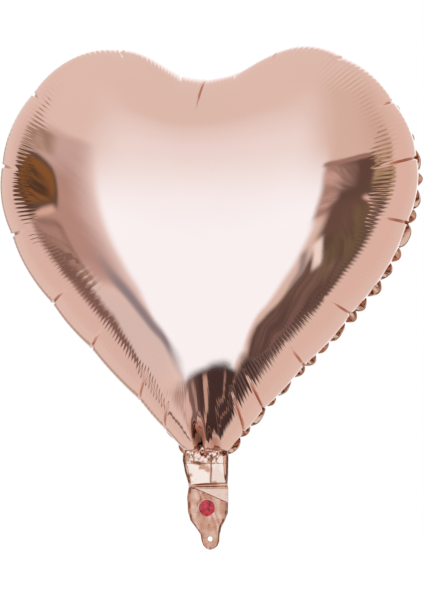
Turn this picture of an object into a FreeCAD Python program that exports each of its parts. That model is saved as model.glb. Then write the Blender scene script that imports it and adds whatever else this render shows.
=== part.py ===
"""Heart-shaped foil balloon, inflated, with its filling tail hanging under the heart.

Frame: origin at the tie point, where the throat of the heart meets the tail.
+Z up through the heart, -Y out of the front panel, X across the two lobes. Millimetres.
The film is drawn thicker than it is, as the film values below say.
"""
import FreeCAD, Part
import math
import os

# ---- heart envelope, inflated ----
heart_width = 364.0          # weld line to weld line at the widest place
heart_height = 354.0         # tie point up to the weld line at the lobe crests
half_depth = 92.0            # weld plane to the crown of one panel
notch_depth = 30.0           # lobe crests down to the weld line in the notch
weld_margin = 5.5            # sealed margin outside the weld line
throat_width = 34.0          # opening between the two flanks at the tie point

# ---- shape of the outline, as shares of half the width (across) or of the height (up) ----
CREST_ACROSS = 0.451
NOTCH_RUN = 0.231
CREST_RUN_IN = 0.154
CREST_RUN_OUT = 0.308
WIDEST_UP = 0.698
SHOULDER_RUN = 0.110
FLANK_RUN_TOP = 0.280
FLANK_RUN_LOW = 0.282
FLANK_ANGLE = 57.0           # degrees, flank above the horizontal where it meets the throat

# ---- shape of a panel's dome ----
CROWN_UP = 0.58              # height of the crown, as a share of the heart's
ROUND_RADIUS = 0.82          # radius that the contours tend to, as a share of half the width
FULLNESS = 2.5               # a larger value gives a flatter crown
EDGE_POWER = 0.55            # under 1, so that the film leaves the weld at right angles to its plane
CONTOURS = (1.0, 0.985, 0.95, 0.89, 0.80, 0.68, 0.53, 0.36, 0.18)
POINTS_PER_CURVE = 14        # points taken along each curve of the outline

# ---- film ----
film = 0.5                   # outer film; the real film is about 0.04
valve_film = 0.3             # valve film; the real film is about 0.05
film_gap = 0.1               # outer film to valve film
valve_gap = 0.2              # between the two valve films

# ---- filling tail ----
tail_width = 40.0            # over the side welds
side_weld = 3.0              # width of each side weld
fold_gap = 2.2               # length of free film at each crease
neck_length = 29.0           # tie point to the tail crease
tail_length = 38.0           # tail crease to the tab crease
taper_length = 13.0          # lower part of the tail, where it narrows to the tab
tab_width = 16.0
tab_length = 18.5            # tab crease to the rounded end
tab_offset = 3.5             # the tab sits to one side
ribbon_hole_diameter = 4.5
ribbon_hole_up = 9.5         # hole centre above the tab's end
fill_port_diameter = 14.0
fill_port_down = 20.0        # tail crease down to the port's centre
mark_thickness = 0.1

# ---- valve lips inside the heart ----
lip_length = 54.0
lip_base = 2.0               # height of the lips' hinge line above the tie point
lip_side_gap = 2.0           # lips to each side of the throat

stack_half = valve_gap / 2 + valve_film + film_gap + film
weld_half = film
half_width = heart_width / 2
crown_z = CROWN_UP * heart_height
tail_crease_z = -neck_length
tab_crease_z = tail_crease_z - tail_length
tail_end_z = tab_crease_z - tab_length
ribbon_hole_z = tail_end_z + ribbon_hole_up
fill_port_z = tail_crease_z - fill_port_down


def vec(x, z, y=0.0):
    return FreeCAD.Vector(x, y, z)


def export(name, shape):
    if not shape.isValid():
        raise RuntimeError(name + " is not a valid shape")
    shape.exportStep("parts/" + name + ".step")
    print("%-20s solids %d  volume %.1f mm3" % (name, len(shape.Solids), shape.Volume))


def bezier(a, b, c, d, count):
    """Points along one cubic curve, without its last point."""
    points = []
    for i in range(count):
        t = i / count
        u = 1 - t
        x = u**3 * a[0] + 3 * u * u * t * b[0] + 3 * u * t * t * c[0] + t**3 * d[0]
        z = u**3 * a[1] + 3 * u * u * t * b[1] + 3 * u * t * t * c[1] + t**3 * d[1]
        points.append((x, z))
    return points


def right_flank():
    """The weld line from the notch, over the right lobe, down to the throat."""
    notch = (0.0, heart_height - notch_depth)
    crest = (CREST_ACROSS * half_width, heart_height)
    widest = (half_width, WIDEST_UP * heart_height)
    throat = (throat_width / 2, 0.0)
    low = FLANK_RUN_LOW * heart_height
    angle = math.radians(FLANK_ANGLE)
    leave = (throat[0] + low * math.cos(angle), throat[1] + low * math.sin(angle))
    points = bezier(notch, (NOTCH_RUN * half_width, notch[1]),
                    (crest[0] - CREST_RUN_IN * half_width, crest[1]), crest, POINTS_PER_CURVE)
    points += bezier(crest, (crest[0] + CREST_RUN_OUT * half_width, crest[1]),
                     (widest[0], widest[1] + SHOULDER_RUN * heart_height), widest, POINTS_PER_CURVE)
    points += bezier(widest, (widest[0], widest[1] - FLANK_RUN_TOP * heart_height),
                     leave, throat, POINTS_PER_CURVE)
    points.append(throat)
    return points


def weld_line():
    """The open weld line, from the throat's right side, round the lobes, to its left side."""
    right = right_flank()
    return right[::-1] + [(-x, z) for x, z in right[1:]]


def offset_line(points, distance):
    """The same line moved outwards, away from the heart."""
    moved = []
    for i, (x, z) in enumerate(points):
        before = points[max(i - 1, 0)]
        after = points[min(i + 1, len(points) - 1)]
        dx, dz = after[0] - before[0], after[1] - before[1]
        length = math.hypot(dx, dz)
        moved.append((x + distance * dz / length, z - distance * dx / length))
    return moved


def curve_through(points, y=0.0):
    spline = Part.BSplineCurve()
    spline.interpolate([vec(x, z, y) for x, z in points])
    return spline.toShape()


def contour(points, share, inset):
    """One level of the dome: the weld line drawn in towards the crown, and rounded as it goes."""
    rounding = 1 - share
    level = []
    for x, z in points:
        dx, dz = x, z - crown_z
        reach = math.hypot(dx, dz)
        radius = (1 - rounding) * reach + rounding * ROUND_RADIUS * half_width
        radius = share * radius - inset
        level.append((dx / reach * radius, crown_z + dz / reach * radius))
    return level


def dome(depth, inset):
    """A solid dome over the weld line, bulging towards -Y, with its flat side on the weld."""
    line = weld_line()
    wires = []
    for share in CONTOURS:
        y = -weld_half - depth * (1 - share**FULLNESS) ** EDGE_POWER
        level = contour(line, share, inset)
        edge = curve_through(level, y)
        close = Part.LineSegment(vec(*level[-1], y), vec(*level[0], y)).toShape()
        wires.append(Part.Wire([edge, close]))
    return Part.makeLoft(wires, True, True)


def front_panel():
    """The front film: the dome less the gas space behind it."""
    outer = dome(half_depth - weld_half, 0.0)
    gas = dome(half_depth - weld_half - film, film)
    return outer.cut(gas)


def seam_margin():
    """The two films sealed together outside the weld line, left open at the throat."""
    inner = offset_line(weld_line(), -film)
    outer = offset_line(weld_line(), weld_margin)
    ends = [Part.LineSegment(vec(*inner[-1]), vec(*outer[-1])).toShape(),
            Part.LineSegment(vec(*outer[0]), vec(*inner[0])).toShape()]
    wire = Part.Wire([curve_through(inner), ends[0], curve_through(outer), ends[1]])
    band = Part.Face(wire).extrude(FreeCAD.Vector(0, 2 * weld_half, 0))
    band.translate(FreeCAD.Vector(0, -weld_half, 0))
    below = Part.makeBox(heart_width, 4 * weld_half, heart_height,
                         vec(-heart_width / 2, -heart_height, -2 * weld_half))
    return band.cut(below)


def sheet(points, y_low, y_high):
    """A flat piece of film with this outline, between two planes across Y."""
    closed = [vec(x, z, y_low) for x, z in points + points[:1]]
    return Part.Face(Part.makePolygon(closed)).extrude(FreeCAD.Vector(0, y_high - y_low, 0))


def rectangle(half, top, bottom, centre=0.0):
    return [(centre - half, top), (centre + half, top), (centre + half, bottom), (centre - half, bottom)]


def round_hole(diameter, x, z):
    reach = 4 * stack_half
    return Part.makeCylinder(diameter / 2, reach, vec(x, z, -reach / 2), FreeCAD.Vector(0, 1, 0))


def stack_planes():
    """Where each film of the tail starts and ends across Y, front to rear."""
    valve_in = valve_gap / 2
    valve_out = valve_in + valve_film
    ply_in = valve_out + film_gap
    return {"front_ply": (-stack_half, -ply_in), "valve_front": (-valve_out, -valve_in),
            "valve_rear": (valve_in, valve_out), "rear_ply": (ply_in, stack_half)}


def neck_nodes():
    """The straight upper part of the tail, from the throat to the tail crease."""
    top = -fold_gap
    bottom = tail_crease_z + fold_gap / 2
    channel = rectangle(tail_width / 2 - side_weld, top, bottom)
    whole = sheet(rectangle(tail_width / 2, top, bottom), -stack_half, stack_half)
    nodes = {"neck_welds": whole.cut(sheet(channel, -stack_half, stack_half))}
    for name, planes in stack_planes().items():
        nodes["neck_" + name] = sheet(channel, *planes)
    return nodes


def tail_outline(inset):
    """The tail below its crease: straight sides, then a taper to the tab."""
    half = tail_width / 2 - inset
    top = tail_crease_z - fold_gap / 2
    bottom = tab_crease_z + fold_gap / 2 + inset
    shoulder = tab_crease_z + taper_length + inset / 2
    foot = tab_width / 2 - inset
    return [(-half, top), (half, top), (half, shoulder), (tab_offset + foot, bottom),
            (tab_offset - foot, bottom), (-half, shoulder)]


def tail_nodes():
    """The lower part of the tail, with the filling port and the red mark seen through it."""
    channel = tail_outline(side_weld)
    whole = sheet(tail_outline(0.0), -stack_half, stack_half)
    port = round_hole(fill_port_diameter, 0.0, fill_port_z)
    nodes = {"tail_welds": whole.cut(sheet(channel, -stack_half, stack_half))}
    for name, planes in stack_planes().items():
        film_piece = sheet(channel, *planes)
        if name in ("front_ply", "valve_front"):
            film_piece = film_piece.cut(port)
        nodes["tail_" + name] = film_piece
    rear_face = stack_planes()["valve_rear"][0]
    nodes["fill_mark"] = Part.makeCylinder(fill_port_diameter / 2, mark_thickness,
                                           vec(0, fill_port_z, rear_face - mark_thickness),
                                           FreeCAD.Vector(0, 1, 0))
    return nodes


def tab_ply(y_low, y_high):
    """One film of the tab: square at the crease, round at its end, with the ribbon hole."""
    half = tab_width / 2
    top = tab_crease_z - fold_gap / 2
    round_z = tail_end_z + half
    corners = [vec(tab_offset - half, round_z, y_low), vec(tab_offset - half, top, y_low),
               vec(tab_offset + half, top, y_low), vec(tab_offset + half, round_z, y_low)]
    end = Part.Arc(corners[3], vec(tab_offset, tail_end_z, y_low), corners[0])
    wire = Part.Wire([Part.makePolygon(corners), end.toShape()])
    ply = Part.Face(wire).extrude(FreeCAD.Vector(0, y_high - y_low, 0))
    return ply.cut(round_hole(ribbon_hole_diameter, tab_offset, ribbon_hole_z))


def valve_lip(planes):
    """One of the two films that stand inside the heart and press together."""
    half = throat_width / 2 - lip_side_gap
    return sheet(rectangle(half, lip_base + lip_length, lip_base), *planes)


def build():
    os.makedirs("parts", exist_ok=True)
    panel = front_panel()
    nodes = {"front_panel": panel,
             "rear_panel": panel.mirror(FreeCAD.Vector(), FreeCAD.Vector(0, 1, 0)),
             "seam_margin": seam_margin(),
             "valve_front_lip": valve_lip(stack_planes()["valve_front"]),
             "valve_rear_lip": valve_lip(stack_planes()["valve_rear"])}
    nodes.update(neck_nodes())
    nodes.update(tail_nodes())
    nodes["tab_front_ply"] = tab_ply(-film, 0.0)
    nodes["tab_rear_ply"] = tab_ply(0.0, film)
    for name, shape in nodes.items():
        export(name, shape)


build()
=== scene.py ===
"""Looks of a heart foil balloon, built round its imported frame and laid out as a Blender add-on."""
import math

import bpy
import numpy as np
from bpy.props import FloatProperty, FloatVectorProperty, IntProperty, PointerProperty
from bpy.types import NodeSocket, Operator, Panel, PropertyGroup
from mathutils import Matrix, Vector


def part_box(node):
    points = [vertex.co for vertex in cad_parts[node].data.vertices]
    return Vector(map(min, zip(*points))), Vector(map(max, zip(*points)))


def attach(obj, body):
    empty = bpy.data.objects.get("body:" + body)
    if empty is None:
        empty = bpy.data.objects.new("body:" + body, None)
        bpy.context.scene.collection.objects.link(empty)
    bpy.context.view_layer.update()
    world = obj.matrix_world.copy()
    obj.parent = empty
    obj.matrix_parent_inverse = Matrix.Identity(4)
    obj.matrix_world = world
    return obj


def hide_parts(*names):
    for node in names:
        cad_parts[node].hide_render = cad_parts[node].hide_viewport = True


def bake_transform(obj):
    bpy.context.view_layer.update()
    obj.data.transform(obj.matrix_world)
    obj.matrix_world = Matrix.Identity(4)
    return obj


bl_info = {
    "name": "Foil Balloon Looks",
    "version": (1, 0, 0),
    "blender": (4, 5, 0),
    "location": "View3D > Sidebar > Balloon",
    "description": "Builds the film, the puckered weld and the filling tail of a heart foil balloon",
    "category": "Object",
}

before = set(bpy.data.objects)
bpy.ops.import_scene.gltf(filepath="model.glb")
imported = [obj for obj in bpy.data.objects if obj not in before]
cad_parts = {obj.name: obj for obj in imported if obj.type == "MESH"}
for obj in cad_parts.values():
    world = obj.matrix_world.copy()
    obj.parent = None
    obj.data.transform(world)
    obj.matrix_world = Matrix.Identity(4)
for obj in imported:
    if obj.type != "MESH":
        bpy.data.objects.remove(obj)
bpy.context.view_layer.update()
PANEL_LOW, PANEL_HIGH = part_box("front_panel")
MARGIN_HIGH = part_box("seam_margin")[1]
TAB_LOW, TAB_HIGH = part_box("tab_front_ply")
MARK_LOW, MARK_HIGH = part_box("fill_mark")
MM = 0.001

# The weld line's outline, as shares of half the heart's width (across) or of its height (up).
CREST_ACROSS = 0.451
NOTCH_RUN = 0.231
CREST_RUN_IN = 0.154
CREST_RUN_OUT = 0.308
WIDEST_UP = 0.698
SHOULDER_RUN = 0.110
FLANK_RUN_TOP = 0.280
FLANK_RUN_LOW = 0.282
FLANK_ANGLE = math.radians(57)
LINE_POINTS = 4096
CORNER_SOFTNESS = 0.005

# Distances in mm along the weld from the right side of the throat, where a deep pucker crosses it.
PUCKERS_MM = (22, 50, 103, 165, 258, 316, 366, 423, 476, 517, 550, 580, 640, 723, 790,
              852, 924, 978, 1042, 1078)
NOTCH_PUCKER = PUCKERS_MM[10] * MM
NOTCH_LONGER = 2.1
# Folds of the throat: place from its left side and depth, in metres.
THROAT_FOLDS = ((0.013, 0.0050), (0.026, 0.0015))
# Brings the bulge past the weld to its full size where it is widest.
BULGE_SCALE = 6.75

# Tail outline: height, left edge, right edge, in mm.
TAIL_STATIONS = (
    (7, -20.5, 18.5), (0, -21.8, 18.5), (-8, -22.3, 18.4), (-18, -20.3, 18.4), (-28, -17.0, 17.8),
    (-31, -17.2, 18.8), (-40, -18.2, 18.8), (-53, -16.8, 18.6), (-60, -14.4, 16.0), (-66, -9.6, 13.0),
    (-72, -5.0, 11.9), (-78, -3.8, 11.6), (-82, -2.2, 10.2), (-84.5, 0.6, 7.2), (-85.4, 2.6, 4.9))
# Stretches of the tail's outer films: top, bottom, body above, body below, where the bend starts
# and ends, and the plies each stands for.
NECK_TOP, NECK_END, TAIL_END = -0.0098, -0.0318, -0.0854
TAIL_STRETCHES = (
    ("throat", 0.007, NECK_TOP, "envelope", "neck", 0.0015, -0.0036, ()),
    ("neck", NECK_TOP, NECK_END, "neck", "tail", -0.0265, -0.0316, ("neck",)),
    ("tail", NECK_END, TAIL_END, "tail", "tab", -0.0645, -0.0695, ("tail", "tab")),
)
VALVE_STRETCHES = (("neck", -0.0062, NECK_END), ("tail", NECK_END, -0.060))
FILM_LAYER, VALVE_LAYER = 0.0011, 0.00035
PORT = Vector(((MARK_LOW.x + MARK_HIGH.x) / 2, 0, (MARK_LOW.z + MARK_HIGH.z) / 2))
PORT_RADIUS = (MARK_HIGH.x - MARK_LOW.x) / 2
RIBBON = Vector(((TAB_LOW.x + TAB_HIGH.x) / 2, 0, TAB_LOW.z + 0.0095))
RIBBON_RADIUS = 0.00225

# The mirror film flat, welded and crumpled: share of the rose colour, roughness, grain, crinkle.
FILM_FINISHES = {
    "rose_mirror_film": ((1.0, 1.0, 1.0), 0.05, 400.0, 0.02),
    "sealed_film": ((0.70, 0.53, 0.42), 0.10, 900.0, 0.3),
    "creased_tail_film": ((1.0, 0.985, 0.92), 0.13, 700.0, 0.25),
}

# Height of the floor, and the point the camera aims at, in metres.
FLOOR_HEIGHT = -0.9
CAMERA_AIM = Vector((0.0026, 0.0, 0.1353))


def smooth(value, low, high):
    """0 below low, 1 above high, and a soft step between."""
    t = np.clip((value - low) / (high - low), 0.0, 1.0)
    return t * t * (3 - 2 * t)


def cubic(a, b, c, d, count=240):
    """Points along one cubic curve, without its last point."""
    t = np.arange(count)[:, None] / count
    a, b, c, d = (np.array(p, float) for p in (a, b, c, d))
    return (1 - t) ** 3 * a + 3 * (1 - t) ** 2 * t * b + 3 * (1 - t) * t * t * c + t ** 3 * d


class WeldLine:
    """The closed outline of a film panel: up the right flank from the throat, over both lobes,
    down the left flank and across the throat. Distances run along it from the throat's right side."""

    def __init__(self, sizes):
        half, height = sizes.half_width, sizes.height
        notch = (0.0, height - sizes.notch_drop)
        crest = (CREST_ACROSS * half, height)
        widest = (half, WIDEST_UP * height)
        throat = (sizes.throat_half, 0.0)
        low = FLANK_RUN_LOW * height
        leave = (throat[0] + low * math.cos(FLANK_ANGLE), low * math.sin(FLANK_ANGLE))
        right = np.vstack([
            cubic(notch, (NOTCH_RUN * half, notch[1]), (crest[0] - CREST_RUN_IN * half, height), crest),
            cubic(crest, (crest[0] + CREST_RUN_OUT * half, height),
                  (half, widest[1] + SHOULDER_RUN * height), widest),
            cubic(widest, (half, widest[1] - FLANK_RUN_TOP * height), leave, throat),
            [throat]])[::-1]
        across = np.linspace(-throat[0], throat[0], 60)[1:-1]
        left = (right[::-1] * [-1, 1])[1:]
        loop = np.vstack([right, left, np.stack([across, across * 0], 1)])
        closed = np.vstack([loop, loop[:1]])
        run = np.concatenate([[0], np.cumsum(np.linalg.norm(np.diff(closed, axis=0), axis=1))])
        self.length = run[-1]
        self.open_length = run[len(right) + len(left) - 1]
        at = np.arange(LINE_POINTS) * self.length / LINE_POINTS
        even = np.stack([np.interp(at, run, closed[:, k]) for k in (0, 1)], 1)
        soften = CORNER_SOFTNESS / (self.length / LINE_POINTS)
        reach = np.arange(-int(4 * soften), int(4 * soften) + 1)
        weight = np.exp(-0.5 * (reach / soften) ** 2)
        weight /= weight.sum()
        points = sum(w * np.roll(even, -k, axis=0) for k, w in zip(reach, weight))
        place = (at - sizes.shoulder_at) / sizes.shoulder_span
        away = points - [0.0, 0.5 * height]
        away /= np.linalg.norm(away, axis=1)[:, None]
        self.points = points + away * (sizes.shoulder_rise * np.exp(-place ** 2))[:, None]
        ahead = np.roll(self.points, -1, axis=0) - np.roll(self.points, 1, axis=0)
        ahead /= np.linalg.norm(ahead, axis=1)[:, None]
        self.outward = np.stack([ahead[:, 1], -ahead[:, 0]], 1)
        self.pleats = round(self.length / sizes.pleat_pitch / 8) * 8

    def sample(self, distance):
        """The points and outward directions at these distances."""
        place = np.asarray(distance) / self.length * len(self.points)
        low = np.floor(place).astype(int) % len(self.points)
        part = (place - np.floor(place))[:, None]
        high = (low + 1) % len(self.points)
        points = self.points[low] * (1 - part) + self.points[high] * part
        outward = self.outward[low] * (1 - part) + self.outward[high] * part
        return points, outward

    def gap(self, distance, mark):
        """Signed distance round the loop from a mark."""
        half = self.length / 2
        return (distance - mark + half) % self.length - half

    def from_throat(self, distance, sizes):
        """Distance along the weld from the middle of the throat."""
        return np.abs(self.gap(distance, self.open_length + sizes.throat_half))


class Swelling:
    """How far a film stands out at each place when gas fills the outline, found from log sources
    outside the weld: 0 on the weld line and 1 at the crown."""

    def __init__(self, line, sizes):
        every = len(line.points) // 1024
        weld = line.points[::every]
        self.outside = weld[::3] + line.outward[::every][::3] * sizes.source_gap
        throat = np.abs(weld[:, 0]) < sizes.throat_half
        throat &= weld[:, 1] < 0.1 * sizes.height
        open_height = 0.365 * (sizes.throat_half * math.tan(FLANK_ANGLE)) ** 2
        share = np.clip(1 - (weld[:, 0] / sizes.throat_half) ** 2, 0, 1)
        goal = (weld ** 2).sum(axis=1) / 4 + throat * open_height * share
        matrix = np.hstack([self.logs(weld), np.ones((len(weld), 1))])
        self.weights = np.linalg.lstsq(matrix, goal, rcond=1e-9)[0]
        heights = np.linspace(0.3, 0.8, 400) * sizes.height
        middle = self.raw(np.stack([heights * 0, heights], 1))
        self.crown = np.array([0.0, heights[middle.argmax()]])
        self.peak = middle.max()

    def logs(self, points):
        """Log of the distance from each point to each source."""
        away = points[:, None, :] - self.outside[None, :, :]
        return 0.5 * np.log((away ** 2).sum(axis=2))

    def raw(self, points):
        """Height of the film at each point, before it is scaled to the crown."""
        matrix = np.hstack([self.logs(points), np.ones((len(points), 1))])
        return matrix @ self.weights - (points ** 2).sum(axis=1) / 4

    def radii(self, weld, shares):
        """For each share of the crown's fall (0 at the crown, 1 at the weld), the distance from the
        crown towards each weld point at which the film has fallen so far."""
        few = weld[::4]
        arm = few - self.crown
        steps = np.linspace(0.0, 1.0, 90)
        points = self.crown + arm[None] * steps[:, None, None]
        fall = 1 - self.raw(points.reshape(-1, 2)).reshape(points.shape[:2]) / self.peak
        fall = np.maximum.accumulate(np.clip(fall, 0, None), axis=0)
        root = np.sqrt(np.clip(fall, 0, 1))
        ends = root[-1].copy()
        ends[ends > 0.9985] = 1.0
        root[-1] = ends
        reached = shares[:, None] * ends[None, :]
        found = np.stack([np.interp(reached[:, k], root[:, k], steps) for k in range(len(few))], 1)
        columns = np.arange(len(weld))

        def spread(rows):
            return np.stack([np.interp(columns, columns[::4], row, period=len(weld)) for row in rows])
        return spread(found), spread(reached)


def wander(share, seed, low=3, high=40, count=9):
    """Smooth wandering from about -1 to 1 along a closed line, at these shares of its length."""
    rng = np.random.default_rng(seed)
    turns = rng.integers(low, high, count)
    phase, weight = rng.uniform(0, 2 * math.pi, count), rng.uniform(0.5, 1.0, count)
    total = sum(w * np.cos(2 * math.pi * n * share + p) for n, p, w in zip(turns, phase, weight))
    return total / weight.sum() * 1.6


def pucker_puff(line, distance, sizes):
    """How far each stretch between two puckers stands out, from 0 at a pucker to 1 between them."""
    marks = np.sort(np.array(PUCKERS_MM) * MM)
    marks = np.concatenate([marks, marks[:1] + line.length])
    place = (distance - marks[0]) % line.length + marks[0]
    left = np.searchsorted(marks, place, side="right") - 1
    left = np.clip(left, 0, len(marks) - 2)
    width = marks[left + 1] - marks[left]
    part = (place - marks[left]) / width
    return np.sin(math.pi * part) ** 0.55 * np.clip(width / sizes.puff_span, 0.35, 1.0)


def swollen_rows(sizes, side, line, distance, angles):
    """Rows of points of one full film with no pleats, from the weld to near its crown."""
    weld, outward = line.sample(distance)
    swelling = Swelling(line, sizes)
    crown, arm = swelling.crown, weld - swelling.crown
    steps, shares = swelling.radii(weld, np.cos(angles) ** 0.8)
    overhang = 0.35 + 0.65 * smooth(line.from_throat(distance, sizes), 0.0, 0.05)
    if side < 0:
        high = smooth(weld[:, 1] / sizes.height, 0.55, 0.9)
        lean = 0.28 * weld[:, 0] / sizes.half_width * (1 - high) - 0.22 * high
        overhang = sizes.overhang * overhang * (1 - lean)
    else:
        overhang = sizes.overhang_rear * overhang
    rows = []
    for angle, step, share in zip(angles, steps, shares):
        part = min(angle / sizes.overhang_angle, 1.0)
        bulge = outward * overhang[:, None] * BULGE_SCALE * part * (1 - part) ** 2
        flat = crown + arm * step[:, None] + bulge
        rise = np.clip(1 - share ** 2.5, 0, 1) ** 0.55
        depth = (sizes.depth - sizes.weld_half) * rise + sizes.weld_half
        rows.append(np.stack([flat[:, 0], side * depth, flat[:, 1]], 1))
    rim = np.stack([weld[:, 0], np.full(len(weld), side * sizes.weld_half), weld[:, 1]], 1)
    tuck = np.abs(rows[0][:, 1] - rim[:, 1])
    tuck = np.stack([tuck * 0, tuck * 0, 0.22 * tuck], 1)
    rows = [row + tuck * (1 - smooth(i, 0, 9)) for i, row in enumerate(rows)]
    closing = [rim + (rows[0] - rim) * [math.sin(t), math.sin(t), 1 - math.cos(t)] for t in (0.0, 0.5, 1.0)]
    return np.array(closing + rows)


def pleat_lift(sizes, side, line, distance, inwards, seed):
    """Height of the fine pleats at each point. They reach further in on the low left flank."""
    weld = line.sample(distance)[0]
    share = distance / line.length
    bent = math.pi * line.pleats * share + 0.35 * wander(share, seed, 5, 30)
    wave = np.abs(np.sin(bent)) ** 0.75 - 0.62
    strength = 1.0 + 0.6 * wander(share, seed + 1, 8, 60)
    low_left = smooth(-weld[:, 0] / sizes.half_width, 0.25, 0.75)
    low_left = low_left * (1 - smooth(weld[:, 1] / sizes.height, 0.42, 0.56)) * (side < 0)
    part = inwards / (sizes.pleat_reach * (1 + 0.40 * low_left))
    fade = (0.30 + 0.70 * smooth(part, 0.15, 0.5)) * (1 - smooth(part, 0.60, 1.0))
    throat = 0.03 + 0.97 * smooth(line.from_throat(distance, sizes), 0.022, 0.065)
    return sizes.pleat_depth * wave * strength * fade * throat


def pucker_lift(sizes, line, distance, inwards, seed):
    """Height of the deep puckers and of the throat's folds at each point, and how deep it lies in them, as
    painted shade.
    """
    rng = np.random.default_rng(seed)
    lift, shade = np.zeros_like(inwards), np.zeros_like(inwards)
    width = sizes.pucker_width
    for mark in np.array(PUCKERS_MM) * MM:
        high = line.sample([mark])[0][0][1] / sizes.height
        length = sizes.pucker_reach * rng.uniform(0.75, 1.05) * (1 - 0.35 * smooth(high, 0.75, 0.95))
        length *= NOTCH_LONGER if mark == NOTCH_PUCKER else 1.0
        gap = line.gap(distance, mark)[None, :] - rng.uniform(-0.08, 0.08) * inwards
        fold = np.exp(-(gap / width) ** 2)
        lip = np.exp(-((np.abs(gap) - 2.1 * width) / (1.1 * width)) ** 2)
        depth = sizes.pucker_depth * rng.uniform(0.7, 1.0) * (1 - smooth(inwards, 0.55 * length, length))
        lift += (0.18 * lip - fold) * depth
        # Painted shade along the groove of each pucker, fading as it runs in.
        dark = rng.uniform(0.55, 0.9) * np.exp(-(gap / (0.55 * width)) ** 2)
        shade = np.maximum(shade, dark * (1 - smooth(inwards, 0.45 * length, 0.95 * length)))
        valley = np.exp(-(gap / (width * 2.5 + 0.13 * inwards)) ** 2) * smooth(inwards, 0.4 * length, length)
        lift -= rng.uniform(0.3, 1.0) * sizes.fan_depth * valley * (1 - smooth(inwards, length, 2.2 * length))
    for mark, deep in THROAT_FOLDS:
        gap = line.gap(distance, line.open_length + mark)[None, :]
        lift -= deep * np.exp(-(gap / (0.0022 + 0.05 * inwards)) ** 2) * (1 - smooth(inwards, 0.012, 0.060))
        # Painted shade down the dark valley of each throat fold.
        dark = 185 * deep * np.exp(-(gap / (0.0012 + 0.15 * inwards)) ** 4)
        shade = np.maximum(shade, dark * (1 - smooth(inwards, 0.030, 0.060)))
    return lift, shade


def panel_shape(sizes, side, columns, angles):
    """Rows of points of one inflated film, from the weld to near its crown, and how deep each point
    lies in a fold, as painted shade. side is -1 for the front film and 1 for the rear one."""
    line = WeldLine(sizes)
    distance = np.arange(columns) * line.length / columns
    grid = swollen_rows(sizes, side, line, distance, angles)
    inwards = np.concatenate([np.zeros((1, columns)),
                              np.cumsum(np.linalg.norm(np.diff(grid, axis=0), axis=2), axis=0)])
    along = np.roll(grid, -1, axis=1) - np.roll(grid, 1, axis=1)
    normal = np.cross(along, np.gradient(grid, axis=0)) * -side
    normal /= np.linalg.norm(normal, axis=2)[:, :, None] + 1e-12
    seed = 11 if side < 0 else 47
    lift = pleat_lift(sizes, side, line, distance, inwards, seed)
    puff = pucker_puff(line, distance, sizes)
    lift += sizes.puff * (puff - 0.6) * (1 - smooth(inwards, 0.012, sizes.puff_reach))
    puckers, shade = pucker_lift(sizes, line, distance, inwards, seed + 2)
    uneven = sizes.wander_depth * wander(distance / line.length, seed + 3, 2, 9)
    lift += puckers + uneven * smooth(inwards, 0.03, 0.08) * (1 - smooth(inwards, 0.08, 0.2))
    return grid + normal * lift[:, :, None], shade


def mesh_from(name, points, faces):
    """A smooth-shaded object at the origin from points and faces."""
    mesh = bpy.data.meshes.new(name)
    mesh.from_pydata([tuple(p) for p in points], [], [tuple(f) for f in faces])
    mesh.validate()
    mesh.polygons.foreach_set("use_smooth", [True] * len(mesh.polygons))
    piece = bpy.data.objects.new(name, mesh)
    bpy.context.scene.collection.objects.link(piece)
    return piece


def store_fold_shade(piece, shade):
    """Stores on each point how deep it lies in a fold, as painted shade for the film's material."""
    folds = piece.data.attributes.new("fold", "FLOAT", "POINT")
    folds.data.foreach_set("value", np.asarray(shade, dtype=np.float32))


def only(piece):
    """Selects this piece alone and makes it active."""
    bpy.ops.object.select_all(action="DESELECT")
    piece.select_set(True)
    bpy.context.view_layer.objects.active = piece


def thicken(piece, thickness):
    """Gives a film its thickness on the inner side, as a finished mesh."""
    only(piece)
    wall = piece.modifiers.new("Wall", "SOLIDIFY")
    wall.thickness = thickness
    wall.offset = -1.0
    bpy.ops.object.modifier_apply(modifier=wall.name)


def finish_piece(piece, material):
    """Gives a piece its material."""
    piece.data.materials.clear()
    piece.data.materials.append(material)
    return piece


def stitch_rows(grid):
    """Faces of a dome whose rows halve their number of points as they near the crown.
    grid is a list of rows; each has as many points as the last, or half as many."""
    points, faces, starts = [], [], []
    for row in grid:
        starts.append(len(points))
        points.extend(row)
    for upper, lower, a, b in zip(grid[:-1], grid[1:], starts[:-1], starts[1:]):
        n, m = len(upper), len(lower)
        if n == m:
            i = np.arange(n)
            faces.extend(np.stack([a + i, a + (i + 1) % n, b + (i + 1) % n, b + i], 1).tolist())
            continue
        for i in range(m):
            first, middle, last = a + 2 * i, a + 2 * i + 1, a + (2 * i + 2) % n
            near, far = b + i, b + (i + 1) % m
            faces += [[first, middle, near], [middle, far, near], [middle, last, far]]
    crown = len(points)
    points.append(np.mean(grid[-1], axis=0))
    last, n = starts[-1], len(grid[-1])
    faces += [[last + i, last + (i + 1) % n, crown] for i in range(n)]
    return points, faces


def heart_film(sizes, name, side):
    """One inflated film of the heart, pleated at the weld and smooth towards its crown."""
    columns = WeldLine(sizes).pleats * sizes.points_per_pleat
    fine = np.arange(0.0, 0.66, 0.031)
    coarse = np.arange(0.70, 1.50, 0.045)
    angles = np.concatenate([fine, coarse, [1.52]])
    shape, shade = panel_shape(sizes, side, columns, angles)
    rows, folds, step = [], [], 1
    for i, row in enumerate(shape):
        if i in (len(fine) + 3, len(fine) + 5, len(fine) + 9):
            step *= 2
        rows.append(row[::step])
        folds.append(shade[i][::step])
    points, faces = stitch_rows(rows)
    if side > 0:
        faces = [f[::-1] for f in faces]
    piece = mesh_from(name, points, faces)
    # Painted shade of the puckers and the throat's folds, kept on each point; the crown gets none.
    store_fold_shade(piece, np.append(np.concatenate(folds), 0.0))
    thicken(piece, sizes.film)
    return piece


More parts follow.
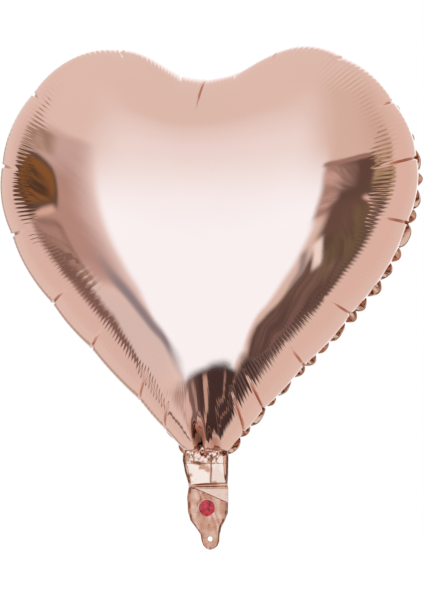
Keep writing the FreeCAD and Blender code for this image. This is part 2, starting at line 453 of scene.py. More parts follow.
def weld_margin(sizes):
    """The two films sealed together outside the weld, scalloped between its small puckers."""
    line = WeldLine(sizes)
    columns = int(line.open_length / (0.7 * MM))
    distance = np.linspace(-0.004, line.open_length + 0.004, columns)
    weld, outward = line.sample(distance)
    share = distance / line.length
    scallops = line.open_length / sizes.scallop_pitch
    turn = math.pi * scallops * share + 0.9 * wander(share, 5, 6, 34)
    lobe = np.abs(np.sin(turn)) ** 0.7
    lobe = lobe * (0.8 + 0.2 * wander(share, 6, 10, 60))
    width = sizes.margin * (0.28 + 1.02 * lobe)
    width = width * (1 + 0.45 * np.exp(-((distance - 0.200) / 0.110) ** 2))
    tilt = 0.9 * np.cos(turn) + 0.5 * wander(share, 8, 8, 50)
    fine = np.sin(2 * math.pi * line.pleats * share)
    points, faces = [], []
    across = np.linspace(-0.12, 1.0, 8)
    for part in across:
        flat = weld + outward * (part * width)[:, None]
        y = sizes.margin_wave * part * tilt + 0.14 * MM * fine * (1 - 0.4 * part)
        points.extend(np.stack([flat[:, 0], y, flat[:, 1]], 1))
    for r in range(len(across) - 1):
        i = np.arange(columns - 1) + r * columns
        faces.extend(np.stack([i, i + 1, i + 1 + columns, i + columns], 1).tolist())
    piece = mesh_from("weld_margin", points, faces)
    thicken(piece, 2 * sizes.film)
    return piece


def tail_edges(z):
    """Left and right edge of the tail at this height, in metres."""
    height, left, right = np.array(TAIL_STATIONS)[::-1].T * MM
    return np.interp(z, height, left), np.interp(z, height, right)


def ridge(value):
    """A triangle wave from -1 to 1 with sharp turns, as film folds."""
    return 2 * np.abs(2 * (value - np.floor(value + 0.5))) - 1


def crumple(x, z):
    """Creased relief of crumpled film, about -1 to 1."""
    total = 0
    for pitch, turn, shift, weight in ((19, 0.5, 0.2, 0.5), (13, 2.1, 0.7, 0.35), (8.5, 1.2, 0.4, 0.25),
                                       (6.1, 2.7, 0.1, 0.18), (3.7, 0.2, 0.6, 0.09), (2.6, 1.8, 0.3, 0.06)):
        bend = 0.6 * MM * pitch * 0.16 * np.sin((x * 1.7 - z * 1.3) / (pitch * MM) * 1.1 + shift * 9)
        along = x * math.cos(turn) + z * math.sin(turn) + bend
        total = total + weight * ridge(along / (pitch * MM) + shift)
    return total


def upright_fold(x, z):
    """Distance across the neck from its upright fold."""
    return x - (0.0034 + 0.05 * (z + 0.018))


def turned_flap(x, z):
    """Height above the turned flap's slanting edge, 1 below the tail's crease, and 1 below that edge."""
    above = (z + 0.0305) + 0.42 * (x + 0.0135)
    below_crease = smooth(-z, 0.0300, 0.0306)
    return above, below_crease, smooth(-above, 0.0, 0.0007) * below_crease


def tail_relief(x, z):
    """How far the tail's middle surface stands towards the front (negative) at each point."""
    y = -0.8 * MM * smooth(z, -0.020, 0.004)
    crease = np.exp(-((z + 0.0290 - 0.06 * x) / 0.0011) ** 2)
    y = y + 1.1 * MM * crease
    neck = smooth(z, -0.0285, -0.026) * (1 - smooth(z, -0.011, -0.006))
    away = np.abs(upright_fold(x, z))
    y = y + neck * (1.5 * MM * np.exp(-away / 0.0042) - 0.7 * MM)
    y = y + neck * 0.12 * (away - 0.008)
    knot = smooth(z, -0.013, -0.005)
    y = y + knot * 1.5 * MM * crumple(x * 1.3 + 0.01, z * 1.4)
    _, below_crease, lower = turned_flap(x, z)
    y = y - 1.3 * MM * below_crease * (1 - lower)
    y = y + lower * (0.16 * (z + 0.045) + 0.75 * MM * crumple(x, z))
    y = y + (1 - lower) * (1 - knot) * 0.50 * MM * crumple(x * 0.8, z * 0.7 + 0.02)
    port = np.hypot(x - PORT.x, z - PORT.z)
    y = y - lower * 0.5 * MM * np.exp(-((port - 0.0075) / 0.0016) ** 2)
    return y + 2.0 * MM * smooth(-z, 0.062, 0.080) * (x * 60)


def tail_shade(x, z, u):
    """How much painted shade the tail's film gets, from 0 to 1: dark inside its folds and crumples,
    and over the streaked lower tail. u runs from -1 to 1 across the tail.
    """
    neck = smooth(z, -0.0285, -0.026) * (1 - smooth(z, -0.004, 0.001))
    line = np.exp(-((z + 0.0282 - 0.05 * x) / 0.0009) ** 2)
    patches = 0.07 + 0.10 * smooth(crumple(x * 0.5 + 0.03, z * 0.6), -0.1, 0.5)
    knots = smooth(crumple(x * 1.3 + 0.01, z * 1.4), 0.02, 0.5) * (0.45 + 0.5 * smooth(x, -0.004, 0.004))
    hook = np.exp(-(((x + 0.0075) / 0.0065) ** 2 + ((z + 0.0095 + 0.12 * (x + 0.0075)) / 0.0017) ** 2))
    above, below_crease, lower = turned_flap(x, z)
    streaks = 0.5 + 0.5 * ridge((x * 0.97 + z * 0.24) / 0.0071 + 0.4 * np.sin(z / 0.007 + x / 0.004))
    streaks = 0.6 * streaks ** 2 + 0.4 * smooth(crumple(x * 1.1, z * 0.45), -0.3, 0.7)
    # Painted shade: the neck's upright fold and edges, the crease, crumples, knots and hook, the turned flap
    # and the streaked lower tail.
    return np.max([
        0.85 * neck * np.exp(-(upright_fold(x, z) / 0.0008) ** 2),
        0.9 * neck * smooth(np.abs(u), 0.88, 0.95),
        0.9 * line * smooth(x, -0.016, -0.008) * (1 - 0.6 * smooth(x, 0.006, 0.012)),
        neck * patches,
        neck * 0.42 * smooth(crumple(x * 0.8, z * 0.7 + 0.02), 0.15, 0.7),
        smooth(z, -0.013, -0.004) * knots,
        0.9 * hook,
        0.45 * below_crease * np.exp(-((above + 0.0004) / 0.0006) ** 2),
        0.22 * below_crease * (1 - lower),
        lower * (0.25 + 0.32 * streaks + 0.30 * smooth(np.abs(u), 0.8, 1.0))], axis=0)


def tail_film(name, top, bottom, layer, step, holes=()):
    """A stretch of one of the tail's films. layer is its place in the stack, in metres from the middle."""
    count_z = max(2, int(round((top - bottom) / step)) + 1)
    count_u = 84
    z = np.linspace(top, bottom, count_z)[:, None] + np.zeros((1, count_u))
    u = np.linspace(-1, 1, count_u)[None, :] + np.zeros((count_z, 1))
    left, right = tail_edges(z)
    x = (left + right) / 2 + u * (right - left) / 2
    keep = np.ones((count_z - 1, count_u - 1), bool)
    for centre, radius in holes:
        dx, dz = x - centre.x, z - centre.z
        away = np.hypot(dx, dz)
        inside = away < radius
        keep &= ~(inside[:-1, :-1] & inside[1:, :-1] & inside[:-1, 1:] & inside[1:, 1:])
        grow = np.where(inside, radius / np.maximum(away, 1e-6), 1.0)
        x, z = centre.x + dx * grow, centre.z + dz * grow
    opening = 1 - smooth(np.abs(u), 0.82, 0.97)
    puffed = smooth(z, -0.026, -0.004)
    y = tail_relief(x, z) + layer * (0.35 + 0.65 * opening) * (1 + 3.2 * puffed * opening)
    points = np.stack([x, y, z], 2).reshape(-1, 3)
    i, j = np.nonzero(keep)
    corner = i * count_u + j
    faces = np.stack([corner, corner + count_u, corner + count_u + 1, corner + 1], 1)
    if layer > 0:
        faces = faces[:, ::-1]
    used = np.unique(faces)
    lookup = np.zeros(len(points), int)
    lookup[used] = np.arange(len(used))
    piece = mesh_from(name, points[used], lookup[faces])
    # Painted shade of the tail's folds, kept on each point.
    store_fold_shade(piece, tail_shade(x, z, u).reshape(-1)[used])
    thicken(piece, 0.12 * MM)
    return piece


def set_socket(tree, socket, value):
    """Links a socket to an output, or gives it a fixed number or colour."""
    if isinstance(value, NodeSocket):
        tree.links.new(value, socket)
    elif socket.type == "RGBA" and len(value) == 3:
        socket.default_value = list(value) + [1.0]
    else:
        socket.default_value = value


def new_node(tree, kind, inputs=(), **settings):
    """Adds a node, sets its properties, and fills or links its inputs."""
    node = tree.nodes.new(kind)
    for key, value in settings.items():
        setattr(node, key, value)
    for key, value in dict(inputs).items():
        set_socket(tree, node.inputs[key], value)
    return node


def math_node(tree, operation, first, second=0.0):
    """The result of one sum on two numbers or outputs."""
    return new_node(tree, "ShaderNodeMath", {0: first, 1: second}, operation=operation).outputs[0]


def ramp_node(tree, value, low, high):
    """A soft step from 0 at low to 1 at high."""
    down = low > high
    node = new_node(tree, "ShaderNodeMapRange", {
        "Value": value, "From Min": min(low, high), "From Max": max(low, high),
        "To Min": float(down), "To Max": float(not down)}, interpolation_type="SMOOTHSTEP")
    return node.outputs["Result"]


def band(tree, value, half, soft):
    """1 within half either side of 0, falling to 0 over the soft width across that edge."""
    away = math_node(tree, "ABSOLUTE", value)
    return ramp_node(tree, away, half + soft / 2, half - soft / 2)


def mix_node(tree, factor, below, above):
    """The colour below, covered by the colour above as far as the factor says."""
    return new_node(tree, "ShaderNodeMix", {0: factor, 6: below, 7: above}, data_type="RGBA").outputs[2]


def colour_ramp(tree, value, low, high, places=(0.0, 1.0)):
    """A run of colour from low to high between two places."""
    node = new_node(tree, "ShaderNodeValToRGB", {"Fac": value})
    for element, place, colour in zip(node.color_ramp.elements, places, (low, high)):
        element.position = place
        element.color = list(colour) + [1]
    return node.outputs["Color"]


def bump_node(tree, height, strength, distance):
    """A normal roughened by a height."""
    inputs = {"Height": height, "Strength": strength, "Distance": distance}
    return new_node(tree, "ShaderNodeBump", inputs).outputs["Normal"]


def noise_node(tree, place, scale, detail=2.0):
    """Cloudy noise from 0 to 1."""
    inputs = {"Vector": place, "Scale": scale, "Detail": detail}
    return new_node(tree, "ShaderNodeTexNoise", inputs).outputs["Fac"]


def scaled(colour, *shares):
    """A colour with each channel multiplied by a share, or all by one."""
    shares = shares * 3 if len(shares) == 1 else shares
    return [c * t for c, t in zip(colour, shares)]


def new_material(name):
    """A material with its tree, its shader and its place on the object."""
    material = bpy.data.materials.new(name)
    material.use_nodes = True
    tree = material.node_tree
    place = new_node(tree, "ShaderNodeTexCoord").outputs["Object"]
    return material, tree, tree.nodes["Principled BSDF"].inputs, place


def film_material(name):
    """Mirror film: rose metal with faint streaks in its finish, a fine grain, and painted shade that darkens
    its folds.
    """
    found = bpy.data.materials.get(name)
    if found:
        return found
    tints, roughness, grain, crinkle = FILM_FINISHES[name]
    colour = scaled(bpy.context.scene.balloon_colours.rose, *tints)
    material, tree, inputs, place = new_material(name)
    cloudy = mix_node(tree, noise_node(tree, place, 9.0, 3.0), scaled(colour, 0.955), colour)
    # Painted shade: the fold attribute darkens the rose colour towards brown, and near black where it is
    # highest.
    fold = new_node(tree, "ShaderNodeAttribute", attribute_name="fold").outputs["Fac"]
    warm_shade = scaled(colour, 1.0, 0.62, 0.48)
    deep = colour_ramp(tree, fold, scaled(warm_shade, 0.62), scaled(warm_shade, 0.15), (0.45, 1.0))
    set_socket(tree, inputs["Base Color"], mix_node(tree, ramp_node(tree, fold, 0.0, 0.45), cloudy, deep))
    rough = new_node(tree, "ShaderNodeMapRange", {
        "Value": noise_node(tree, place, 60.0, 4.0), "From Min": 0.3, "From Max": 0.7,
        "To Min": roughness * 0.7, "To Max": roughness * 1.4})
    set_socket(tree, inputs["Roughness"], rough.outputs["Result"])
    set_socket(tree, inputs["Normal"], bump_node(tree, noise_node(tree, place, grain), crinkle, 0.0002))
    inputs["Metallic"].default_value = 1.0
    return material


def ink_material(colour):
    """Glossy print on film, a little darker in patches where it is thick."""
    material, tree, inputs, place = new_material("crimson_print")
    cloud = noise_node(tree, place, 240.0, 3.0)
    set_socket(tree, inputs["Base Color"],
               colour_ramp(tree, cloud, scaled(colour, 0.32), colour, (0.35, 0.58)))
    set_socket(tree, inputs["Normal"], bump_node(tree, cloud, 0.6, 0.0012))
    inputs["Metallic"].default_value = 0.55
    inputs["Roughness"].default_value = 0.22
    return material


def valve_material(colour):
    """Milky polyethylene film."""
    material, tree, inputs, place = new_material("milky_valve_film")
    cloud = noise_node(tree, place, 90.0, 3.0)
    set_socket(tree, inputs["Base Color"], colour_ramp(tree, cloud, scaled(colour, 0.85), colour))
    inputs["Roughness"].default_value = 0.3
    return material


def floor_material():
    """A pale matt floor with a faint grain."""
    material, tree, inputs, place = new_material("pale_floor")
    grain = noise_node(tree, place, 2.0)
    set_socket(tree, inputs["Base Color"], colour_ramp(tree, grain, (0.88, 0.88, 0.87), (0.92, 0.92, 0.91)))
    inputs["Roughness"].default_value = 0.9
    inputs["Specular IOR Level"].default_value = 0.0
    inputs["Emission Color"].default_value = (1, 1, 1, 1)
    inputs["Emission Strength"].default_value = 0.3
    return material


def length(name, note, value):
    """A length a user can change, in metres."""
    return FloatProperty(name=name, description=note, default=value, min=0.0, max=5.0,
                         subtype="DISTANCE", unit="LENGTH", precision=4)


def turning(name, note, value):
    """An angle a user can change, in radians."""
    return FloatProperty(name=name, description=note, default=value, subtype="ANGLE", unit="ROTATION")


def tint(name, note, value):
    """A colour a user can change."""
    return FloatVectorProperty(name=name, description=note, default=value, size=3, subtype="COLOR")


class HeartSizes(PropertyGroup):
    """Sizes of the heart's films, in metres."""
    half_width: length("Half width", "Centre line to the weld at the widest place", PANEL_HIGH.x)
    height: length("Height", "Tie point up to the weld at the crests", PANEL_HIGH.z)
    depth: length("Depth", "Weld plane to the crown of one film", -PANEL_LOW.y)
    notch_drop: length("Notch", "Crests down to the weld in the notch", 0.030)
    throat_half: length("Throat", "Half the opening at the tie point", 0.017)
    weld_half: length("Weld", "Half the gap between the films at the weld", 0.0003)
    margin: length("Margin", "Sealed margin outside the weld", MARGIN_HIGH.x - PANEL_HIGH.x)
    margin_wave: length("Margin wave", "How far the margin bends out of its plane", 0.0034)
    scallop_pitch: length("Scallops", "Length of one scallop of the margin", 0.0165)
    shoulder_rise: length("Shoulder rise", "How far the left shoulder stands past the cut outline", 0.0040)
    shoulder_at: length("Shoulder place", "Distance along the weld to the left shoulder", 0.705)
    shoulder_span: length("Shoulder span", "Half the length of the fuller shoulder", 0.060)
    source_gap: length("Source gap", "Distance from the weld to the sources that shape the film", 0.022)
    film: length("Film", "Thickness of the film as drawn", 0.0002)
    overhang: length("Overhang", "How far the front film swells outwards near the weld", 0.0080)
    overhang_rear: length("Overhang, rear", "How far the rear film swells outwards there", 0.0040)
    pleat_pitch: length("Pleat pitch", "Distance between two fine pleats", 0.0042)
    pleat_depth: length("Pleat depth", "Height of a fine pleat", 0.00036)
    pleat_reach: length("Pleat reach", "How far the pleats run in from the weld", 0.074)
    pucker_depth: length("Pucker depth", "Depth of a deep pucker", 0.0025)
    pucker_width: length("Pucker width", "Half the width of a deep pucker", 0.0010)
    pucker_reach: length("Pucker reach", "How far a pucker runs in from the weld", 0.070)
    puff: length("Puff", "How far the film swells between two puckers", 0.0022)
    puff_reach: length("Puff reach", "How far the swelling runs in from the weld", 0.060)
    puff_span: length("Puff span", "Distance between puckers that swells fully", 0.060)
    fan_depth: length("Fan depth", "Depth of the soft valley past each pucker", 0.00025)
    wander_depth: length("Unevenness", "Slow unevenness of the film", 0.0005)
    overhang_angle: turning("Overhang angle", "Where the bulge past the weld has died away", 0.85)
    points_per_pleat: IntProperty(name="Points per pleat", description="Mesh points along each pleat",
                                  default=6)


class FilmColours(PropertyGroup):
    """Colours of the films and the print."""
    rose: tint("Rose gold", "Colour of the mirror film", (0.80, 0.50, 0.42))
    ink: tint("Print", "Colour of the mark in the port", (0.62, 0.030, 0.048))
    valve: tint("Valve film", "Colour of the valve film", (0.80, 0.80, 0.78))


class StudioSizes(PropertyGroup):
    """Where the camera stands."""
    distance: length("Distance", "Camera to the balloon", 1.9)
    turn: turning("Turn", "Camera's turn round the balloon", math.radians(9))
    rise: turning("Rise", "Camera's angle above the balloon", math.radians(-4))
    lean: turning("Lean", "How far the balloon leans in the picture", math.radians(0.5))
    framed: length("Framed height", "Height of the picture at the balloon", 0.534)


class BALLOON_OT_heart_films(Operator):
    """Model the two inflated films of the heart"""
    bl_idname = "balloon.heart_films"
    bl_label = "Heart films"

    def execute(self, context):
        sizes = context.scene.balloon_heart
        for name, side, node in (("front_film", -1, "front_panel"), ("rear_film", 1, "rear_panel")):
            film = finish_piece(heart_film(sizes, name, side), film_material("rose_mirror_film"))
            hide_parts(node)
            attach(film, "envelope")
        return {"FINISHED"}


class BALLOON_OT_weld_margin(Operator):
    """Model the scalloped margin outside the weld"""
    bl_idname = "balloon.weld_margin"
    bl_label = "Weld margin"

    def execute(self, context):
        margin = weld_margin(context.scene.balloon_heart)
        finish_piece(margin, film_material("sealed_film"))
        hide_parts("seam_margin")
        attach(margin, "envelope")
        return {"FINISHED"}


class BALLOON_OT_tail_films(Operator):
    """Model the neck, tail and tab in both outer films"""
    bl_idname = "balloon.tail_films"
    bl_label = "Tail films"

    def execute(self, context):
        for side, layer in (("front", -FILM_LAYER), ("rear", FILM_LAYER)):
            for part, top, bottom, above, below, bend_from, bend_to, plies in TAIL_STRETCHES:
                holes = [(RIBBON, RIBBON_RADIUS)] if part == "tail" else []
                if part == "tail" and side == "front":
                    holes.append((PORT, PORT_RADIUS))
                film = tail_film(part + "_" + side + "_film", top, bottom, layer, 0.0005, holes)
                finish_piece(film, film_material("creased_tail_film"))
                if plies:
                    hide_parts(*[ply + "_" + side + "_ply" for ply in plies])
                if plies and side == "front":
                    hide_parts(part + "_welds")
                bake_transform(film)
        return {"FINISHED"}


class BALLOON_OT_valve_films(Operator):
    """Model the valve films inside the tail and dress the lips inside the heart"""
    bl_idname = "balloon.valve_films"
    bl_label = "Valve films"

    def execute(self, context):
        material = valve_material(context.scene.balloon_colours.valve)
        for side, layer in (("front", -VALVE_LAYER), ("rear", VALVE_LAYER)):
            for part, top, bottom in VALVE_STRETCHES:
                holes = [(PORT, PORT_RADIUS)] if part == "tail" and side == "front" else []
                film = tail_film(part + "_valve_" + side + "_film", top, bottom, layer, 0.0008, holes)
                finish_piece(film, material)
                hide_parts(part + "_valve_" + side)
                if part == "neck":
                    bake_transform(film)
                else:
                    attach(film, "tail")
            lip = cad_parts["valve_" + side + "_lip"]
            lip.data.materials.clear()
            lip.data.materials.append(material)
        return {"FINISHED"}


class BALLOON_OT_fill_mark(Operator):
    """Model the printed mark seen through the filling port"""
    bl_idname = "balloon.fill_mark"
    bl_label = "Fill mark"

    def execute(self, context):
        bpy.ops.object.select_all(action="DESELECT")
        bpy.ops.mesh.primitive_grid_add(x_subdivisions=40, y_subdivisions=40, size=1.0)
        mark = bpy.context.active_object
        mark.name = mark.data.name = "printed_mark"
        radius = PORT_RADIUS * 1.04
        for v in mark.data.vertices:
            a, b = v.co.x * 2, v.co.y * 2
            x = PORT.x + a * math.sqrt(1 - b * b / 2) * radius
            z = PORT.z + b * math.sqrt(1 - a * a / 2) * radius
            v.co = (x, float(tail_relief(np.array(x), np.array(z))) + 0.15 * MM, z)
        only(mark)
        bpy.ops.object.mode_set(mode="EDIT")
        bpy.ops.mesh.select_all(action="SELECT")
        bpy.ops.mesh.normals_make_consistent(inside=False)
        bpy.ops.object.mode_set(mode="OBJECT")
        bpy.ops.object.shade_smooth()
        if sum(p.normal.y for p in mark.data.polygons) > 0:
            mark.data.flip_normals()
        thicken(mark, 0.05 * MM)
        finish_piece(mark, ink_material(context.scene.balloon_colours.ink))
        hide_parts("fill_mark")
        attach(mark, "tail")
        return {"FINISHED"}


class Surroundings:
    """What the film reflects, painted patch over patch. Places are directions in degrees: azimuth
    from the balloon's front towards +X, and elevation."""

    def __init__(self, tree):
        self.tree = tree
        place = new_node(tree, "ShaderNodeTexCoord").outputs["Generated"]
        parts = new_node(tree, "ShaderNodeSeparateXYZ", {"Vector": place}).outputs
        azimuth = self.sum("ARCTAN2", parts["X"], self.times(parts["Y"], -1.0))
        self.azimuth = self.times(azimuth, 180 / math.pi)
        self.elevation = self.times(self.sum("ARCSINE", parts["Z"]), 180 / math.pi)
        self.colour = mix_node(tree, self.step(self.azimuth, -40, 60), (0.93, 0.98, 0.99), (0.88, 0.90, 0.87))

    def sum(self, operation, first, second=0.0):
        return math_node(self.tree, operation, first, second)

    def times(self, first, second):
        return math_node(self.tree, "MULTIPLY", first, second)

    def step(self, value, low, high):
        return ramp_node(self.tree, value, low, high)

    def from_place(self, centre):
        """Degrees across and up from a direction."""
        across = self.sum("SUBTRACT", self.azimuth, float(centre[0]))
        if abs(centre[0]) > 150:
            across = self.sum("WRAP", across, 180.0)
            across.node.inputs[2].default_value = -180.0
        return across, self.sum("SUBTRACT", self.elevation, float(centre[1]))

    def turned(self, across, up, turn):
        """The same two numbers after a turn in degrees."""
        c, s = math.cos(math.radians(turn)), math.sin(math.radians(turn))
        return (self.sum("ADD", self.times(across, c), self.times(up, s)),
                self.sum("SUBTRACT", self.times(up, c), self.times(across, s)))

    def radius(self, across, up):
        return self.sum("SQRT", self.sum("ADD", self.times(across, across), self.times(up, up)))

    def box(self, centre, half, turn, soft):
        """1 inside a box with soft edges."""
        along, over = self.turned(*self.from_place(centre), turn)
        return self.times(band(self.tree, along, half[0], soft[0]), band(self.tree, over, half[1], soft[1]))

    def oval(self, centre, half, soft):
        """1 inside an oval with a soft edge."""
        across, up = self.from_place(centre)
        away = self.radius(self.sum("DIVIDE", across, float(half[0])), self.sum("DIVIDE", up, float(half[1])))
        return self.step(away, 1 + soft / 2, 1 - soft / 2)

    def streaks(self, over, along, seed):
        """Irregular light and dark streaks."""
        place = new_node(self.tree, "ShaderNodeCombineXYZ", {"X": over, "Y": along, "Z": seed})
        return self.step(noise_node(self.tree, place.outputs[0], 1.0), 0.36, 0.64)

    def fan(self, centre, count, spread, seed):
        """Streaks that run out from one direction."""
        across, up = self.from_place(centre)
        angle = self.times(self.sum("ARCTAN2", up, across), count / math.pi)
        return self.streaks(angle, self.times(self.radius(across, up), spread), seed)

    def stripes(self, turn, pitch, seed, strength):
        """Parallel streaks, turned from upright."""
        c, s = math.cos(math.radians(turn)) / pitch, math.sin(math.radians(turn)) / pitch
        over = self.sum("ADD", self.times(self.azimuth, c), self.times(self.elevation, s))
        along = self.sum("SUBTRACT", self.times(self.elevation, 0.12 * c), self.times(self.azimuth, 0.12 * s))
        return self.times(self.streaks(over, along, seed), strength)

    def paint(self, factor, colour):
        self.colour = mix_node(self.tree, factor, self.colour, colour)

    def patch(self, centre, half, turn, soft, colour, share=None):
        """Paints a soft box, with only a share of its colour if one is given."""
        factor = self.box(centre, half, turn, soft)
        self.paint(factor if share is None else self.times(factor, share), colour)


def paint_studio(view):
    """The walls of the studio: centre, half size, turn, soft edges, colour and strength."""
    view.patch((180, 0), (75, 60), 0, (40, 30), (0.92, 0.94, 0.92), 1.0)
    view.patch((176, 22), (26, 34), 0, (22, 20), (1.20, 1.52, 1.66), 0.9)
    view.patch((-138, -14), (7, 30), 0, (9, 9), (0.46, 0.40, 0.37), 0.75)
    view.patch((62, 45), (30, 28), 0, (50, 30), (0.84, 0.84, 0.79), 0.9)
    view.patch((72, 32), (12, 12), 0, (20, 16), (0.70, 0.60, 0.53), 0.6)
    view.patch((-90, -8), (12, 46), 0, (16, 30), (0.88, 0.86, 0.84), 0.9)
    view.patch((92, -8), (14, 46), 0, (16, 30), (0.92, 0.88, 0.85), 0.9)


def paint_left_room(view):
    """A pale grey-brown room beyond the tent's left side, with a lamp-lit brown bay in it."""
    view.patch((-62, 4), (20, 28), 0, (9, 5), (0.74, 0.71, 0.73))
    view.patch((-66, -4), (14, 19), 0, (14, 10), (0.60, 0.50, 0.47))
    view.patch((-58, 27), (16, 5), -4, (10, 7), (0.72, 0.70, 0.70), 0.7)
    view.patch((-60, -36), (20, 7), -6, (12, 9), (0.86, 0.96, 1.02), 0.85)
    view.patch((-58, 2), (14, 20), 0, (12, 12), (0.50, 0.44, 0.42), view.stripes(70, 7.0, 3.0, 0.35))
    view.patch((-79, 26), (12, 4.5), -3, (8, 3), (0.44, 0.38, 0.32))
    view.patch((-79, 24), (11, 4), -3, (6, 3), (0.66, 0.62, 0.56), view.stripes(55, 2.4, 9.0, 0.6))
    view.paint(view.oval((-79, 7), (15, 13), 0.22), (0.15, 0.12, 0.09))
    view.paint(view.oval((-78, 8), (12, 9), 0.35), (0.30, 0.17, 0.06))
    shadow = view.times(view.oval((-81, 5), (11, 9), 0.5), view.stripes(62, 3.0, 5.0, 1.0))
    view.paint(shadow, (0.10, 0.07, 0.05))
    view.patch((-76, -5), (7, 1.4), 24, (5, 2), (0.86, 0.74, 0.68))
    view.patch((-77, -16), (6.5, 9), -4, (7, 4), (0.29, 0.23, 0.20))
    view.patch((-77, -16), (5, 8), 0, (5, 4), (0.60, 0.50, 0.46), view.stripes(60, 2.6, 7.0, 0.7))
    view.patch((-79, -42), (2.8, 25), 3, (4, 8), (0.26, 0.185, 0.17))
    view.patch((-45, -32), (3.0, 13), 30, (6, 12), (0.36, 0.42, 0.50))


def paint_tent(view):
    """The white tent in front, with the glow over it and the shadow at its left edge."""
    glow = band(view.tree, view.sum("ADD", view.azimuth, 4.0), 34.0, 30.0)
    view.paint(view.times(glow, view.step(view.elevation, 82, 26)), (1.08, 1.36, 1.52))
    tent = band(view.tree, view.sum("ADD", view.azimuth, 1.0), 37.5, 6.0)
    view.paint(view.times(tent, view.step(view.elevation, 34, -2)), (1.22, 1.78, 2.12))
    view.patch((-45, -32), (4.2, 15), 30, (8, 14), (0.36, 0.41, 0.50))


def paint_right_room(view):
    """A dark room beyond the tent's right side, with olive cloth hung in it."""
    view.patch((54.5, 8), (19.5, 12.5), 0, (5, 2), (0.52, 0.43, 0.40))
    view.patch((54.5, 8), (19.5, 12.5), 0, (5, 2), (0.15, 0.11, 0.10), view.step(view.azimuth, 34, 56))
    rays = view.times(view.fan((63, -1), 24.0, 0.05, 2.0), view.step(view.azimuth, 58, 40))
    view.patch((45, 5), (10, 11), 0, (6, 5), (0.80, 0.71, 0.69), view.times(rays, 0.75))
    view.patch((48, 19), (14, 1.2), 0, (4, 1.4), (0.42, 0.32, 0.29))
    view.patch((70, 8), (8.5, 11), 0, (3, 3), (0.47, 0.42, 0.28))
    view.patch((70, 8), (8, 10), 0, (2, 3), (0.66, 0.58, 0.42), view.stripes(4, 2.6, 4.0, 0.7))
    view.patch((61, -22), (15, 27), 0, (6, 6), (0.15, 0.12, 0.10))
    view.patch((52, -8), (9, 7), 0, (7, 6), (0.18, 0.13, 0.115))
    view.patch((64, -20), (9, 14), 0, (6, 8), (0.22, 0.205, 0.13), view.stripes(40, 3.2, 8.0, 0.9))
    view.patch((67, -6), (8.5, 1.0), -34, (4, 1.6), (0.95, 0.84, 0.78))
    view.patch((50, -23), (2.2, 9), 38, (2.5, 5), (1.10, 1.30, 1.36))
    view.patch((43, -26), (1.8, 8), 30, (3, 6), (0.42, 0.46, 0.50))
    view.patch((58, -44), (16, 6), 6, (8, 5), (0.13, 0.10, 0.095))
    view.patch((60, -38), (12, 10), 0, (8, 6), (0.34, 0.27, 0.25), view.stripes(20, 3.0, 6.0, 0.5))


def paint_floor_edge(view):
    """The dark edge of the floor under the balloon, with lit posts, and pale ground and sky past it."""
    dark = mix_node(view.tree, view.step(view.azimuth, -60, -10), (0.50, 0.42, 0.40), (0.075, 0.055, 0.055))
    view.paint(view.box((6, -62), (62, 12.0), 0, (20, 3)), dark)
    for azimuth, half, colour, strength in (
            (-44, 8, (0.95, 0.92, 0.92), 0.85), (-26, 2.5, (0.60, 0.52, 0.50), 0.8),
            (-6, 3.5, (0.78, 0.66, 0.58), 0.9), (22, 1.2, (0.62, 0.52, 0.46), 0.7),
            (38, 1.6, (0.50, 0.40, 0.36), 0.6)):
        view.patch((azimuth, -66), (half, 14), 0, (3, 3), colour, strength)
    view.paint(view.step(view.elevation, -72, -78), (0.80, 0.74, 0.68))
    view.paint(view.step(view.elevation, 58, 74), (0.92, 0.98, 0.98))


def studio_world(scene):
    """Lights the scene with the surroundings, over a plain white backdrop."""
    world = bpy.data.worlds.new("studio")
    scene.world = world
    world.use_nodes = True
    tree = world.node_tree
    tree.nodes.clear()
    view = Surroundings(tree)
    for paint in (paint_studio, paint_left_room, paint_tent, paint_right_room, paint_floor_edge):
        paint(view)
    seen = new_node(tree, "ShaderNodeBackground", {"Color": (1, 1, 1), "Strength": 1.0})
    light = new_node(tree, "ShaderNodeBackground", {"Color": view.colour, "Strength": 1.0})
    path = new_node(tree, "ShaderNodeLightPath")
    pick = new_node(tree, "ShaderNodeMixShader", {0: path.outputs["Is Camera Ray"], 1: light.outputs[0],
                                                  2: seen.outputs[0]})
    new_node(tree, "ShaderNodeOutputWorld", {"Surface": pick.outputs[0]})


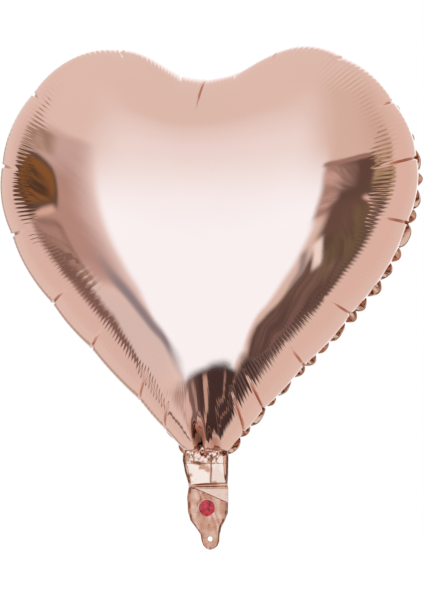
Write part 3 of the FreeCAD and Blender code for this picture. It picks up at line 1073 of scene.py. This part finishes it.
class BALLOON_OT_studio(Operator):
    """Set the floor, the light and the camera"""
    bl_idname = "balloon.studio"
    bl_label = "Studio"

    def execute(self, context):
        scene = context.scene
        studio = scene.balloon_studio
        bpy.ops.object.select_all(action="DESELECT")
        bpy.ops.mesh.primitive_plane_add(size=40, location=(0, 0, FLOOR_HEIGHT))
        floor = context.active_object
        floor.name = "floor"
        floor.data.materials.append(floor_material())
        floor.visible_glossy = False
        studio_world(scene)
        scene.view_settings.view_transform = "Standard"
        lens = bpy.data.cameras.new("camera")
        camera = bpy.data.objects.new("camera", lens)
        scene.collection.objects.link(camera)
        back = Vector((math.sin(studio.turn) * math.cos(studio.rise),
                       -math.cos(studio.turn) * math.cos(studio.rise), math.sin(studio.rise)))
        camera.location = CAMERA_AIM + back * studio.distance
        lean = Matrix.Rotation(studio.lean, 4, "Z")
        turn = (-back).to_track_quat("-Z", "Y").to_matrix().to_4x4() @ lean
        camera.rotation_mode = "QUATERNION"
        camera.rotation_quaternion = turn.to_quaternion()
        lens.sensor_width = 36.0
        lens.lens = lens.sensor_width * studio.distance / studio.framed
        lens.clip_start, lens.clip_end = 0.01, 100.0
        scene.camera = camera
        return {"FINISHED"}


class BALLOON_PT_panel(Panel):
    """Lists the operators and the settings"""
    bl_label = "Foil balloon"
    bl_idname = "BALLOON_PT_panel"
    bl_space_type = "VIEW_3D"
    bl_region_type = "UI"
    bl_category = "Balloon"

    def draw(self, context):
        for operator in OPERATORS:
            self.layout.operator(operator.bl_idname)
        for group, kind in GROUPS:
            settings = getattr(context.scene, group)
            for key in kind.__annotations__:
                self.layout.prop(settings, key)


GROUPS = (("balloon_heart", HeartSizes), ("balloon_colours", FilmColours), ("balloon_studio", StudioSizes))
OPERATORS = (BALLOON_OT_studio, BALLOON_OT_weld_margin, BALLOON_OT_heart_films, BALLOON_OT_tail_films,
             BALLOON_OT_valve_films, BALLOON_OT_fill_mark)


def register():
    for name, group in GROUPS:
        bpy.utils.register_class(group)
        setattr(bpy.types.Scene, name, PointerProperty(type=group))
    for operator in OPERATORS:
        bpy.utils.register_class(operator)
    bpy.utils.register_class(BALLOON_PT_panel)


def unregister():
    bpy.utils.unregister_class(BALLOON_PT_panel)
    for operator in reversed(OPERATORS):
        bpy.utils.unregister_class(operator)
    for name, group in reversed(GROUPS):
        delattr(bpy.types.Scene, name)
        bpy.utils.unregister_class(group)


def main():
    register()
    for operator in OPERATORS:
        group, name = operator.bl_idname.split(".")
        getattr(getattr(bpy.ops, group), name)()


if __name__ == "__main__":
    main()
